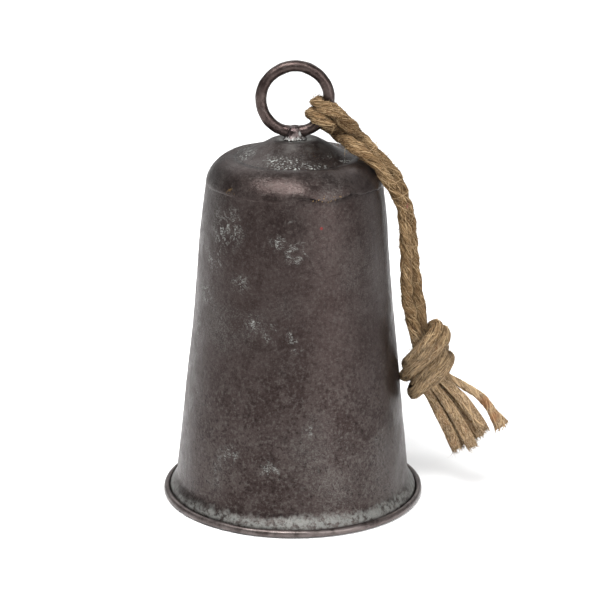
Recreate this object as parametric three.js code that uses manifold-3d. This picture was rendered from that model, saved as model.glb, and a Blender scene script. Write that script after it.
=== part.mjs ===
// Yard dinner bell: a cone of sheet metal with a curled rim, a brazed crown cap, an upright ring
// brazed into the boss of a hanger stud, a clapper on a link inside, and a doubled jute rope
// looped through the ring and tied in one overhand knot.
// Millimetres, +Z up. The origin is the centre of the mouth, on the plane that the rim rests on.
// The ring lies in the XZ plane and the rope hangs on the +X side.

import * as THREE from "three";
import { mergeVertices } from "three/addons/utils/BufferGeometryUtils.js";
import Module from "manifold-3d";

const wasm = await Module();
wasm.setup();

// Clearance between pieces that touch on the real bell.
const GAP = 0.3;

// Shell
const SHEET = 1.2;
const ROUND = 48; // facets round the bell
const RIM_RADIUS = 75;
const BEAD_RADIUS = 2.15;
const BEAD_ARC = { from: 210, to: 490, steps: 7 }; // degrees, from under the foot to the cut edge
const FOOT = { drop: 6, rise: 1, out: 1.8 }; // the flared foot, from the lowest part of the wall
const WALL_LOW = { r: 67.1, z: 12 };
const WALL_HIGH = { r: 49, z: 185 };
const SHOULDER = { r: 31.5, z: 183.25, radius: 17.55 };
const SHOULDER_OUTSIDE = { from: 12, to: 78, steps: 6 };
const SHOULDER_INSIDE = { from: 76, to: 28, steps: 5 };
const CREASE = { r: 33, z: 199.3 };
const DOME_FOOT = { inset: 2, rise: 0.7 }; // from the crease
const PLATEAU = { r: 12, z: 209.3, edge: 2, drop: 0.6 };
const SKIRT_BOTTOM = 177;
const SEAM_Z = 185.6;

// Ring and hanger stud
const RING_CENTRE_Z = 231.85;
const RING_RADIUS = 18.75;
const RING_WIRE = 3.25;
const BOSS = { base: 5.6, top: 2.9, height: 7.8, depth: 1.25 };
const SHANK_RADIUS = 3;
const TENON = { top: 200.5, bottom: 188.5, thickness: 3.2, width: 6 };
const WASHER = { radius: 7.5, height: 1.2 };
const NUT = { flats: 10, height: 4.8 };

// Clapper
const LINK_PIVOT_Z = 192.5;
const LINK_RADIUS = 7;
const LINK_WIRE = 1.2;
const LINK_HOLE = 1.9;
const EYE_PIVOT_Z = 181.7;
const EYE_RADIUS = 5;
const EYE_WIRE = 1.5;
const ROD_RADIUS = 2.2;
const ROD_BOTTOM = 9.6;
const BALL_RADIUS = 13;
const BALL_Z = 27;
const END_NUT = { flats: 8, height: 3.2 };

// Rope: three-strand jute, doubled. Routes are [x, y, z] from the ring down to the knot.
const ROPE_RADIUS = 3.5;
const ROPE_SIDES = 10;
// The rope goes round the ring's wire one and a half times. Its place along the ring, in degrees
// from TURN_AT, is given at every TURN_STEP degrees round the wire from the front.
const TURN_AT = -23;
const TURN_STEP = 45;
const TURN_PLACES = [11.2, 12.6, 13.5, 11.5, 8, 1, -8, -10, -11.2, -13.8, -17.4, -19.6, -20.4];
const TURN_ROPE_RADIUS = 3.1; // squeezed on the wire
const TURN_FACETS = 26;
const BEND = { from: 42, to: 84 }; // along each run, where the rope turns down over the shoulder
const FRONT_ROUTE = [
  [19.8, 6.3, 214.4],
  [25.6, 0.4, 211],
  [30.8, -7.1, 208.7],
  [35, -10, 206],
  [40.4, -11.5, 202.7],
  [47.3, -12.1, 195.9],
  [52.2, -10, 187.8],
  [57, -7.4, 180.1],
  [60.2, -5.4, 171.6],
  [62.1, -4.1, 161],
  [62.8, -3.7, 149],
  [63.3, -3.7, 138],
  [63.5, -3.6, 127],
  [64.2, -3.1, 116],
  [67.8, -3.1, 105],
  [73, -3.7, 97.5],
];
const BACK_ROUTE = [
  [23.6, -7.9, 225.2],
  [28.2, -6.2, 220.6],
  [32.2, -1.2, 215.4],
  [36.5, 3, 209.3],
  [43, -0.8, 203.5],
  [50, -3.2, 196.8],
  [55.8, -2.2, 189.8],
  [59.6, 0.6, 181],
  [62.5, 2.6, 172.4],
  [64.8, 3.6, 163.5],
  [66.1, 3.9, 154],
  [67.1, 3.9, 142],
  [68.7, 3.8, 129],
  [70.8, 3, 116.5],
  [73.6, 2.8, 105],
  [77, 4, 95],
];

// Knot and the unlaid strands that hang from it
const KNOT = { x: 76.6, y: 0, z: 81, across: 12.5, deep: 11.5, tall: 19.5, tilt: -14 };
const KNOT_BANDS = [
  { dx: 2.4, dz: 10.5, tilt: -34, half: 11.6, deep: 9.8 },
  { dx: 0.4, dz: 0, tilt: -38, half: 12.6, deep: 10.6 },
  { dx: -0.8, dz: -11, tilt: -42, half: 10, deep: 9 },
];
const BAND_RADIUS = 4;
const STRAND_RADIUS = 2.2;
const TAILS = [
  { from: [76, -4.5, 64], by: [87.2, -5.5, 44], to: [95.5, -6, 26] },
  { from: [78, 0, 65], by: [90.2, -1, 46.5], to: [100.4, -1.5, 27.5] },
  { from: [79.5, -5.2, 67.5], by: [92.8, -6.8, 49], to: [104.2, -7.6, 28] },
  { from: [82, 0, 69.5], by: [95.6, -1, 53], to: [108.2, -1.5, 32] },
  { from: [83, -4.6, 71.5], by: [98, -6, 57], to: [110.8, -6.8, 37.5] },
];
const LOOSE_STRAND = [
  [84, -2, 73],
  [92.6, -2.6, 68.4],
  [98.8, -3, 64.4],
  [105, -3.5, 60.8],
  [110, -4, 56.4],
  [114, -4, 50.8],
  [121, -4, 39.5],
];

const FINISH = {
  shell: { color: 0x55494a, roughness: 0.48, metalness: 0.85 },
  ring: { color: 0x4a4041, roughness: 0.42, metalness: 0.9 },
  iron: { color: 0x3f3a39, roughness: 0.6, metalness: 0.85 },
  jute: { color: 0xa5875f, roughness: 0.95, metalness: 0 },
};

// The wall's outer radius at a height.
function wallRadius(z) {
  const share = (z - WALL_LOW.z) / (WALL_HIGH.z - WALL_LOW.z);
  return WALL_LOW.r + share * (WALL_HIGH.r - WALL_LOW.r);
}

// Points on an arc in the profile plane, from one angle to another in degrees.
function arc(centre, radius, from, to, steps) {
  const points = [];
  for (let i = 0; i <= steps; i += 1) {
    const angle = THREE.MathUtils.degToRad(from + ((to - from) * i) / steps);
    points.push([centre.r + radius * Math.cos(angle), centre.z + radius * Math.sin(angle)]);
  }
  return points;
}

// A counter-clockwise profile of [radius, height] corners, turned round the Z axis. It closes on
// itself unless it starts and ends on the axis.
function turned(profile, facets = ROUND) {
  const loop = profile[0][0] === 0 ? profile : [...profile, profile[0]];
  const corners = loop.map(([r, z]) => new THREE.Vector2(r, z));
  return new THREE.LatheGeometry(corners, facets).rotateX(Math.PI / 2);
}

function regularShape(radius, sides, turn = 0.5) {
  const corners = [];
  for (let i = 0; i < sides; i += 1) {
    const angle = (2 * Math.PI * (i + turn)) / sides;
    corners.push(new THREE.Vector2(radius * Math.cos(angle), radius * Math.sin(angle)));
  }
  return new THREE.Shape(corners);
}

function curveThrough(points) {
  const corners = points.map((p) => new THREE.Vector3(...p));
  return new THREE.CatmullRomCurve3(corners, false, "centripetal");
}

function tubeAlong(extrudePath, radius, sides, steps) {
  const section = regularShape(radius, sides);
  return new THREE.ExtrudeGeometry(section, { steps, extrudePath, bevelEnabled: false });
}

function tube(points, radius, sides, steps) {
  return tubeAlong(curveThrough(points), radius, sides, steps);
}

// The part of a line between two distances from its start.
class Stretch extends THREE.Curve {
  constructor(line, from, to) {
    super();
    this.line = line;
    this.start = from / line.getLength();
    this.share = (to - from) / line.getLength();
  }

  getPoint(t, target) {
    return this.line.getPointAt(this.start + this.share * t, target);
  }

  getTangent(t, target) {
    return this.line.getTangentAt(this.start + this.share * t, target);
  }
}

function cylinder(radius, low, high, facets = 24) {
  const height = high - low;
  const made = new THREE.CylinderGeometry(radius, radius, height, facets);
  return made.rotateX(Math.PI / 2).translate(0, 0, (low + high) / 2);
}

function solidOf(geometry) {
  const bare = geometry.clone();
  bare.deleteAttribute("normal");
  bare.deleteAttribute("uv");
  const merged = mergeVertices(bare, 1e-4);
  const vertProperties = merged.attributes.position.array;
  const triVerts = new Uint32Array(merged.index.array);
  return new wasm.Manifold(new wasm.Mesh({ numProp: 3, vertProperties, triVerts }));
}

function geometryOf(solid) {
  const mesh = solid.getMesh();
  const made = new THREE.BufferGeometry();
  made.setAttribute("position", new THREE.BufferAttribute(mesh.vertProperties, 3));
  made.setIndex(new THREE.BufferAttribute(mesh.triVerts, 1));
  made.computeVertexNormals();
  return made;
}

// Cone wall, flared foot and rim curled outward and up into an open bead.
function bellWall() {
  const bead = { r: RIM_RADIUS - BEAD_RADIUS, z: BEAD_RADIUS };
  const half = THREE.MathUtils.degToRad((BEAD_ARC.to - BEAD_ARC.from) / BEAD_ARC.steps / 2);
  const beadOuter = BEAD_RADIUS / Math.cos(half); // its lowest facet lies on Z = 0
  const beadInner = BEAD_RADIUS - SHEET;
  const top = SEAM_Z - GAP;
  const bend = WALL_LOW.z + FOOT.rise;
  return turned([
    [wallRadius(top) - SHEET, top],
    [wallRadius(WALL_LOW.z) - SHEET, bend],
    [WALL_LOW.r, WALL_LOW.z - FOOT.drop],
    ...arc(bead, beadOuter, BEAD_ARC.from, BEAD_ARC.to, BEAD_ARC.steps),
    ...arc(bead, beadInner, BEAD_ARC.to, BEAD_ARC.from, BEAD_ARC.steps),
    [WALL_LOW.r + FOOT.out, bend - FOOT.drop],
    [WALL_LOW.r, bend],
    [wallRadius(top), top],
  ]);
}

// Shoulder and raised dome, with a skirt that sleeves inside the top of the wall.
function crownCap() {
  const bore = SHANK_RADIUS + GAP;
  const skirt = SHEET + GAP;
  const shoulderInner = SHOULDER.radius - SHEET;
  const { from, to, steps } = SHOULDER_OUTSIDE;
  const inside = SHOULDER_INSIDE;
  return turned([
    [bore, PLATEAU.z - SHEET],
    [PLATEAU.r - SHEET / 2, PLATEAU.z - SHEET],
    [CREASE.r - DOME_FOOT.inset, CREASE.z - SHEET + DOME_FOOT.rise],
    [CREASE.r, CREASE.z - SHEET],
    ...arc(SHOULDER, shoulderInner, inside.from, inside.to, inside.steps),
    [wallRadius(SKIRT_BOTTOM) - skirt - SHEET, SKIRT_BOTTOM],
    [wallRadius(SKIRT_BOTTOM) - skirt, SKIRT_BOTTOM],
    [wallRadius(SEAM_Z) - skirt, SEAM_Z],
    [wallRadius(SEAM_Z), SEAM_Z],
    ...arc(SHOULDER, SHOULDER.radius, from, to, steps),
    [CREASE.r, CREASE.z],
    [CREASE.r - DOME_FOOT.inset, CREASE.z + DOME_FOOT.rise],
    [PLATEAU.r + PLATEAU.edge, PLATEAU.z - PLATEAU.drop],
    [PLATEAU.r, PLATEAU.z],
    [bore, PLATEAU.z],
  ]);
}

function suspensionRing(wire = RING_WIRE) {
  const made = new THREE.TorusGeometry(RING_RADIUS, wire, 12, 48);
  return made.rotateX(Math.PI / 2).translate(0, 0, RING_CENTRE_Z);
}

// Conical boss that the ring is brazed into, the shank through the crown and the flat end
// inside the bell, cross-drilled along Y for the clapper's link.
function hangerStud() {
  const base = PLATEAU.z + GAP;
  const flare = (BOSS.base - BOSS.top) * 0.35;
  const boss = turned(
    [
      [0, base],
      [BOSS.base, base],
      [BOSS.base - 0.4, base + 1.2],
      [BOSS.top + flare, base + BOSS.height * 0.7],
      [BOSS.top, base + BOSS.height - 0.6],
      [BOSS.top * 0.5, base + BOSS.height],
      [0, base + BOSS.height + 0.2],
    ],
    24,
  );
  boss.scale(1, BOSS.depth, 1);
  const ringBed = suspensionRing(RING_WIRE + GAP);
  const shank = cylinder(SHANK_RADIUS, TENON.top, base + 0.2);
  const tenonHeight = TENON.top + 0.5 - TENON.bottom;
  const tenon = new THREE.BoxGeometry(TENON.width, TENON.thickness, tenonHeight);
  tenon.translate(0, 0, TENON.bottom + tenonHeight / 2);
  const hole = new THREE.CylinderGeometry(LINK_HOLE, LINK_HOLE, TENON.thickness * 2, 16);
  hole.translate(0, 0, LINK_PIVOT_Z);
  const head = solidOf(boss).subtract(solidOf(ringBed));
  const body = head.add(solidOf(shank)).add(solidOf(tenon));
  return geometryOf(body.subtract(solidOf(hole)));
}

function studWasher() {
  const top = PLATEAU.z - SHEET - GAP;
  return turned(
    [
      [SHANK_RADIUS + GAP, top - WASHER.height],
      [WASHER.radius, top - WASHER.height],
      [WASHER.radius, top],
      [SHANK_RADIUS + GAP, top],
    ],
    24,
  );
}

function hexNut(flats, bore, low, height) {
  const shape = regularShape(flats / Math.sqrt(3), 6, 0);
  const hole = regularShape(bore, 20).getPoints();
  shape.holes.push(new THREE.Path(hole));
  const made = new THREE.ExtrudeGeometry(shape, { depth: height, bevelEnabled: false });
  return made.translate(0, 0, low);
}

function studNut() {
  const top = PLATEAU.z - SHEET - GAP - WASHER.height - GAP;
  return hexNut(NUT.flats, SHANK_RADIUS + GAP, top - NUT.height, NUT.height);
}

// Closed round link in the YZ plane, through the stud's cross hole.
function clapperLink() {
  const made = new THREE.TorusGeometry(LINK_RADIUS, LINK_WIRE, 10, 32);
  return made.rotateY(Math.PI / 2).translate(0, 0, LINK_PIVOT_Z - LINK_RADIUS);
}

// Rod with a forged eye in the XZ plane, threaded on the link.
function clapperRod() {
  const eyeCentre = EYE_PIVOT_Z - EYE_RADIUS;
  const eye = new THREE.TorusGeometry(EYE_RADIUS, EYE_WIRE, 10, 28);
  eye.rotateX(Math.PI / 2).translate(0, 0, eyeCentre);
  const rod = cylinder(ROD_RADIUS, ROD_BOTTOM, eyeCentre - EYE_RADIUS - 0.4, 16);
  return geometryOf(solidOf(eye).add(solidOf(rod)));
}

function clapperBall() {
  const bore = ROD_RADIUS + GAP;
  const open = THREE.MathUtils.radToDeg(Math.asin(bore / BALL_RADIUS));
  const centre = { r: 0, z: BALL_Z };
  return turned(arc(centre, BALL_RADIUS, -90 + open, 90 - open, 14), 28);
}

function clapperEndNut() {
  const top = BALL_Z - BALL_RADIUS - GAP;
  return hexNut(END_NUT.flats, ROD_RADIUS + GAP, top - END_NUT.height, END_NUT.height);
}

// The turns of rope round the ring's wire, from the front of the upper one to the back of the
// lower one.
function ropeTurns() {
  const reach = RING_WIRE + TURN_ROPE_RADIUS + GAP;
  return TURN_PLACES.map((place, i) => {
    const round = THREE.MathUtils.degToRad(TURN_STEP * i);
    const along = THREE.MathUtils.degToRad(TURN_AT + place);
    const radius = RING_RADIUS - reach * Math.sin(round);
    return [
      radius * Math.cos(along),
      -reach * Math.cos(round),
      RING_CENTRE_Z + radius * Math.sin(along),
    ];
  });
}

// The whole rope from the knot up the front run, round the ring and down the back run, and the
// distances along it where the turns round the ring start and end.
function ropeLine() {
  const corners = [...[...FRONT_ROUTE].reverse(), ...ropeTurns().reverse(), ...BACK_ROUTE];
  const line = curveThrough(corners);
  const fine = 20;
  line.arcLengthDivisions = (corners.length - 1) * fine;
  const lengths = line.getLengths();
  const low = lengths[FRONT_ROUTE.length * fine];
  const high = lengths[(FRONT_ROUTE.length + TURN_PLACES.length - 1) * fine];
  return { line, low, high };
}

// One stretch of the rope, shortened at both ends so that it doesn't touch the next stretch.
function ropeStretch(line, from, to) {
  const start = from + GAP / 2;
  const end = to - GAP / 2;
  const steps = Math.max(3, Math.round((end - start) / (2.2 * ROPE_RADIUS)));
  return tubeAlong(new Stretch(line, start, end), ROPE_RADIUS, ROPE_SIDES, steps);
}

// Overhand knot in the doubled rope: a core with three bands wound over it.
function knotSolid(grow) {
  const core = new THREE.SphereGeometry(1, 16, 10);
  core.scale(KNOT.across + grow, KNOT.deep + grow, KNOT.tall + grow);
  core.rotateY(THREE.MathUtils.degToRad(KNOT.tilt));
  let knot = solidOf(core);
  for (const band of KNOT_BANDS) {
    const loop = new THREE.TorusGeometry(1, (BAND_RADIUS + grow) / band.half, 8, 20);
    loop.scale(band.half, band.deep, band.half);
    loop.rotateY(THREE.MathUtils.degToRad(-band.tilt));
    loop.translate(band.dx, 0, band.dz);
    knot = knot.add(solidOf(loop));
  }
  return knot.translate([KNOT.x, KNOT.y, KNOT.z]);
}

// A rope or strand whose end is buried in the knot, cut off just outside it.
function outsideKnot(geometry) {
  return geometryOf(solidOf(geometry).subtract(knotSolid(GAP * 1.5)));
}

const bell = new THREE.Group();

function add(name, geometry, finish) {
  const mesh = new THREE.Mesh(geometry, new THREE.MeshStandardMaterial(finish));
  mesh.name = name;
  bell.add(mesh);
}

add("bell_wall", bellWall(), FINISH.shell);
add("crown_cap", crownCap(), FINISH.shell);
add("suspension_ring", suspensionRing(), FINISH.ring);
add("hanger_stud", hangerStud(), FINISH.ring);
add("stud_washer", studWasher(), FINISH.iron);
add("stud_nut", studNut(), FINISH.iron);
add("clapper_link", clapperLink(), FINISH.iron);
add("clapper_rod", clapperRod(), FINISH.iron);
add("clapper_ball", clapperBall(), FINISH.iron);
add("clapper_end_nut", clapperEndNut(), FINISH.iron);
const rope = ropeLine();
const bight = tubeAlong(
  new Stretch(rope.line, rope.low + GAP / 2, rope.high - GAP / 2),
  TURN_ROPE_RADIUS,
  ROPE_SIDES,
  TURN_FACETS,
);
add("rope_bight", bight, FINISH.jute);
for (const [side, start, way, end] of [
  ["front", rope.low, -1, 0],
  ["back", rope.high, 1, rope.line.getLength()],
]) {
  const stretch = (from, to) => {
    const ends = [from, to].map((d) => (d === Infinity ? end : start + way * d));
    return ropeStretch(rope.line, Math.min(...ends), Math.max(...ends));
  };
  add(`rope_run_${side}`, stretch(0, BEND.from), FINISH.jute);
  add(`rope_bend_${side}`, stretch(BEND.from, BEND.to), FINISH.jute);
  add(`rope_drop_${side}`, outsideKnot(stretch(BEND.to, Infinity)), FINISH.jute);
}
add("rope_knot", geometryOf(knotSolid(0)), FINISH.jute);
TAILS.forEach(({ from, by, to }, i) => {
  const strand = tube([from, by, to], STRAND_RADIUS, 8, 5);
  add(`rope_tail_${i + 1}`, outsideKnot(strand), FINISH.jute);
});
const looseStrand = tube(LOOSE_STRAND, STRAND_RADIUS, 8, 8);
add("rope_loose_strand", outsideKnot(looseStrand), FINISH.jute);

export default bell;
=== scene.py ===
"""Yard dinner bell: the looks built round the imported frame.

Lengths are millimetres until mesh() turns them into metres. Materials and lights are in metres.
"""
import math
import random

import bmesh
import bpy
import numpy as np
from mathutils import Euler, Matrix, Vector, noise


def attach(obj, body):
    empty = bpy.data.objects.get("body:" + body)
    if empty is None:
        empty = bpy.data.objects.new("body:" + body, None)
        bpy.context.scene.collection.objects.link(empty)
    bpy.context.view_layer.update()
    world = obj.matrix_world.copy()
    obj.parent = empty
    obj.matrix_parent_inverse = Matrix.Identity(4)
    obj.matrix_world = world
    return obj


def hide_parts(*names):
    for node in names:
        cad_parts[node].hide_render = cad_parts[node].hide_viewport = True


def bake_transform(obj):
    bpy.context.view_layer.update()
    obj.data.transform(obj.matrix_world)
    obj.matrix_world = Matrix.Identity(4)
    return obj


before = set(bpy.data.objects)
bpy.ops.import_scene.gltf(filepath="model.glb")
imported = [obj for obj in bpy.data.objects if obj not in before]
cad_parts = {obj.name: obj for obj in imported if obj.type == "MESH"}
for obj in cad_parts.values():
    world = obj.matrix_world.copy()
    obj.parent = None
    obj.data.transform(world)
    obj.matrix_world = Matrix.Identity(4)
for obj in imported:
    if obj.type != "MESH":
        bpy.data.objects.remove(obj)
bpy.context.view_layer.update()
MM = 0.001
SEED = 11
rng = random.Random(SEED)
scene = bpy.context.scene
scene.view_settings.view_transform = "Standard"

# ---------------- camera
CAMERA_AT = (0.0035, -1.244, 0.5122)
CAMERA_PITCH = 17.7
CAMERA_ROLL = 0.0065
FOCAL_LENGTH, SENSOR_WIDTH = 137.75, 36
lens = bpy.data.cameras.new("camera")
lens.lens = FOCAL_LENGTH
lens.sensor_width = SENSOR_WIDTH
camera = bpy.data.objects.new("camera", lens)
scene.collection.objects.link(camera)
camera.location = CAMERA_AT
aim = Euler((math.radians(90 - CAMERA_PITCH), 0, 0)).to_matrix()
camera.rotation_euler = (aim @ Matrix.Rotation(CAMERA_ROLL, 3, "Z")).to_euler()
scene.camera = camera


# ---------------- mesh helpers
def mesh(name, verts, faces, smooth=True):
    data = bpy.data.meshes.new(name)
    data.from_pydata((np.asarray(verts, float) * MM).tolist(), [], faces)
    data.validate()
    data.polygons.foreach_set("use_smooth", [smooth] * len(data.polygons))
    data.update()
    made = bpy.data.objects.new(name, data)
    scene.collection.objects.link(made)
    return made


def attribute(obj, name, kind, values):
    made = obj.data.attributes.new(name, kind, "POINT")
    made.data.foreach_set("vector" if kind == "FLOAT_VECTOR" else "value",
                          np.asarray(values, np.float32).ravel())


def unit(v):
    v = np.asarray(v, float)
    return v / np.maximum(np.linalg.norm(v, axis=-1, keepdims=True), 1e-9)


def fbm(x, y, z, octaves=3):
    return noise.fractal(Vector((x, y, z)), 1.0, 2.0, octaves)


def grid_faces(rows, cols, close_rows=False, close_cols=True):
    faces = []
    for i in range(rows if close_rows else rows - 1):
        k = (i + 1) % rows
        for j in range(cols if close_cols else cols - 1):
            m = (j + 1) % cols
            faces.append((i * cols + j, i * cols + m, k * cols + m, k * cols + j))
    return faces


def resample(points, step):
    points = np.asarray(points, float)
    s = np.concatenate([[0], np.cumsum(np.linalg.norm(np.diff(points, axis=0), axis=1))])
    at = np.linspace(0, s[-1], max(3, int(round(s[-1] / step)) + 1))
    return np.stack([np.interp(at, s, points[:, k]) for k in range(points.shape[1])], 1)


def spline(points, step):
    """A natural cubic spline through the points, at even steps along it."""
    p = np.asarray(points, float)
    n = len(p)
    t = np.concatenate([[0], np.cumsum(np.sqrt(np.linalg.norm(np.diff(p, axis=0), axis=1)))])
    h = np.diff(t)
    a, b = np.eye(n), np.zeros_like(p)
    for i in range(1, n - 1):
        a[i, i - 1], a[i, i], a[i, i + 1] = h[i - 1], 2 * (h[i - 1] + h[i]), h[i]
        b[i] = 6 * ((p[i + 1] - p[i]) / h[i] - (p[i] - p[i - 1]) / h[i - 1])
    m = np.linalg.solve(a, b)
    at = np.linspace(0, t[-1], n * 40)
    k = np.clip(np.searchsorted(t, at, side="right") - 1, 0, n - 2)
    hk = h[k][:, None]
    u = (t[k + 1] - at)[:, None] / hk
    v = 1 - u
    fine = u * p[k] + v * p[k + 1] + ((u**3 - u) * m[k] + (v**3 - v) * m[k + 1]) * hk**2 / 6
    return resample(fine, step)


def frames(path):
    """Tangent and two rotation-minimising normals at each point of a path."""
    path = np.asarray(path, float)
    tangent = unit(np.gradient(path, axis=0))
    normal = np.zeros_like(path)
    first = np.cross(tangent[0], (0, 0, 1.0))
    if np.linalg.norm(first) < 0.1:
        first = np.cross(tangent[0], (0, 1.0, 0))
    normal[0] = unit(first)
    for i in range(1, len(path)):
        v = normal[i - 1] - tangent[i] * (normal[i - 1] @ tangent[i])
        normal[i] = unit(v)
    return tangent, normal, np.cross(tangent, normal)


# ---------------- rope: routes as in the CAD
ROPE_RADIUS = 3.5
RING_CENTRE_Z, RING_RADIUS, RING_WIRE = 231.85, 18.75, 3.25
FRONT_ROUTE = [
    (19.8, 6.3, 214.4), (25.6, 0.4, 211), (30.8, -7.1, 208.7), (35, -10, 206),
    (40.4, -11.5, 202.7), (47.3, -12.1, 195.9), (52.2, -10, 187.8), (57, -7.4, 180.1),
    (60.2, -5.4, 171.6), (62.1, -4.1, 161), (62.8, -3.7, 149), (63.3, -3.7, 138),
    (63.5, -3.6, 127), (64.2, -3.1, 116),
]
BACK_ROUTE = [
    (23.6, -7.9, 225.2), (28.2, -6.2, 220.6), (32.2, -1.2, 215.4), (36.5, 3, 209.3),
    (43, -0.8, 203.5), (50, -3.2, 196.8), (55.8, -2.2, 189.8), (59.6, 0.6, 181),
    (62.5, 2.6, 172.4), (64.8, 3.6, 163.5), (66.1, 3.9, 154), (67.1, 3.9, 142),
    (68.7, 3.8, 129), (70.8, 3, 116.5),
]
# Places along the ring of the one and a half turns of rope round its wire, in degrees from
# TURN_AT, at every TURN_STEP degrees round the wire from the front of the upper turn.
TURN_AT, TURN_STEP = -23, 45
TURN_PLACES = (11.2, 12.6, 13.5, 11.5, 8, 1, -8, -10, -11.2, -13.8, -17.4, -19.6, -20.4)
TURN_ROPE_RADIUS = 3.1
# The middle of the doubled rope through the knot, and what it does there: s standing part,
# w wound round the core, c through the core.
KNOT_ROUTE = [
    (70.6, -0.6, 103, "s"), (72.4, -0.8, 92, "s"), (74.5, 1.5, 80.9, "s"),
    (73.8, 2.5, 71.5, "s"), (71.3, 1.5, 65.8, "w"), (69, -4, 63.4, "w"), (70, -9.5, 67, "w"),
    (74.4, -13, 72, "w"), (80.2, -12.5, 77, "w"), (85.7, -7.5, 82.5, "w"), (87.6, 1, 84.5, "w"),
    (85, 9, 82, "w"), (78.3, 12.5, 78, "w"), (70.4, 11.5, 73.5, "w"),
    (64.8, 5, 71.5, "w"), (63.8, -3, 74.5, "w"), (66.9, -10, 80, "w"), (73, -13, 87, "w"),
    (79.5, -12, 93.6, "w"), (84.6, -6, 98.4, "w"), (83.4, 2, 99.6, "w"), (80, 6, 94.6, "c"),
    (79.6, 4, 85.5, "c"), (80.5, 2, 78, "c"), (82, 0, 71, "c"),
]
KNOT_AXIS = np.array((0.235, 0, -0.972))
KNOT_SQUEEZE = 0.80
KNOT_CENTRE_X = 77
# How the runs in the knot are pushed apart: the spacing of their points, the rounds, the last
# rounds that smooth less, and the length at the top of each run that stays where it is.
RUN_STEP, PUSH_ROUNDS, CALM_ROUNDS, HELD_LENGTH = 2.0, 420, 40, 22
ROPE_STEP, ROPE_SIDES = 0.75, 54


CROWN_TOP = 200
# The wall's outside: height and radius at the foot of its straight part, and at its top.
WALL_LOW, WALL_HIGH = (12, 67.1), (185, 49)


def wall_radius(z):
    (z0, r0), (z1, r1) = WALL_LOW, WALL_HIGH
    return r0 + (z - z0) / (z1 - z0) * (r1 - r0)


def ring_turns():
    """The rope round the ring's wire, from the front of the upper turn to behind the lower one."""
    reach = RING_WIRE + TURN_ROPE_RADIUS + 0.3
    line = []
    for i, place in enumerate(TURN_PLACES):
        turn, along = math.radians(TURN_STEP * i), math.radians(TURN_AT + place)
        radius = RING_RADIUS - reach * math.sin(turn)
        line.append((radius * math.cos(along), -reach * math.cos(turn),
                     RING_CENTRE_Z + radius * math.sin(along)))
    return line


def knot_runs():
    """The two ropes' own lines through the knot, pushed apart until neither lies in the other."""
    centre = np.array([p[:3] for p in KNOT_ROUTE], float)
    offset = []
    for p, kind in zip(centre, (p[3] for p in KNOT_ROUTE)):
        out = unit(np.array((p[0] - KNOT_CENTRE_X, p[1], 0)))
        beside = np.array((0.75, 0.66, 0)) if p[2] > 90 else np.array((0, 1.0, 0))
        offset.append(unit(0.86 * KNOT_AXIS + 0.5 * out) if kind == "w" else beside)
    offset = np.array(offset)
    for _ in range(2):
        offset[1:-1] = (offset[:-2] + 2 * offset[1:-1] + offset[2:]) / 4
    offset = unit(offset) * ROPE_RADIUS
    runs = []
    for route, side in ((FRONT_ROUTE, -1), (BACK_ROUTE, 1)):
        line = spline(centre + side * offset, RUN_STEP)
        runs.append(resample(np.vstack([np.array(route[-3:]), line]), RUN_STEP))
    sizes = [len(r) for r in runs]
    p = np.vstack(runs)
    home = p.copy()
    owner = np.repeat([0, 1], sizes)
    index = np.concatenate([np.arange(n) for n in sizes])
    apart = np.abs(index[:, None] - index[None, :]) * RUN_STEP
    pairs = np.triu((owner[:, None] != owner[None, :]) | (apart > 2.6 * ROPE_RADIUS * 2), 1)
    a, b = np.nonzero(pairs)
    fixed = index < int(HELD_LENGTH / RUN_STEP)
    rest = KNOT_SQUEEZE * 2 * ROPE_RADIUS
    for turn in range(PUSH_ROUNDS):
        d = p[b] - p[a]
        gap = np.linalg.norm(d, axis=1)
        near = gap < rest
        push = np.zeros_like(p)
        count = np.zeros(len(p))
        n = d[near] / np.maximum(gap[near], 1e-6)[:, None]
        amount = (rest - gap[near])[:, None] * 0.5 * n
        np.add.at(push, a[near], -amount)
        np.add.at(push, b[near], amount)
        np.add.at(count, a[near], 1)
        np.add.at(count, b[near], 1)
        p = p + push / np.maximum(count, 1)[:, None] * 0.9
        for which in (0, 1):
            rows = np.nonzero(owner == which)[0]
            q = p[rows]
            smooth = q.copy()
            smooth[1:-1] = (q[:-2] + q[2:]) / 2
            q = q + (smooth - q) * (0.22 if turn < PUSH_ROUNDS - CALM_ROUNDS else 0.1)
            seg = np.diff(q, axis=0)
            length = np.linalg.norm(seg, axis=1, keepdims=True)
            fix = seg / length * (length - RUN_STEP) * 0.25
            q[:-1] += fix
            q[1:] -= fix
            p[rows] = q
        p = p + (home - p) * 0.012
        radial = np.hypot(p[:, 0], p[:, 1])
        low = wall_radius(p[:, 2]) + ROPE_RADIUS + 0.2
        inside = radial < low
        p[inside, :2] *= (low[inside] / radial[inside])[:, None]
        p[fixed] = home[fixed]
    return [p[owner == 0], p[owner == 1]]


RUN_F, RUN_B = knot_runs()


def whole_rope():
    front = FRONT_ROUTE[:-3] + [tuple(q) for q in RUN_F[::4]]
    back = BACK_ROUTE[:-3] + [tuple(q) for q in RUN_B[::4]]
    return spline(front[::-1] + ring_turns()[::-1] + back, ROPE_STEP)


ROPE = whole_rope()

# The lay: how far a strand's middle is from the rope's, its radius, the rope's own radius, and
# the length of one turn.
STRAND_OFF, STRAND_R, LAID_RADIUS, LAY_PITCH = 1.876, 1.66, 3.52, 38.0
KNOT_TOP = 103.0
# How much thicker the rope is on the ring's wire, in the knot, and where it is fluffed up.
WIRE_SWELL, KNOT_SWELL, FLUFF_SWELL = 0.05, 0.05, 0.19
FLUFF_X, FLUFF_REACH = 28, 9


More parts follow.
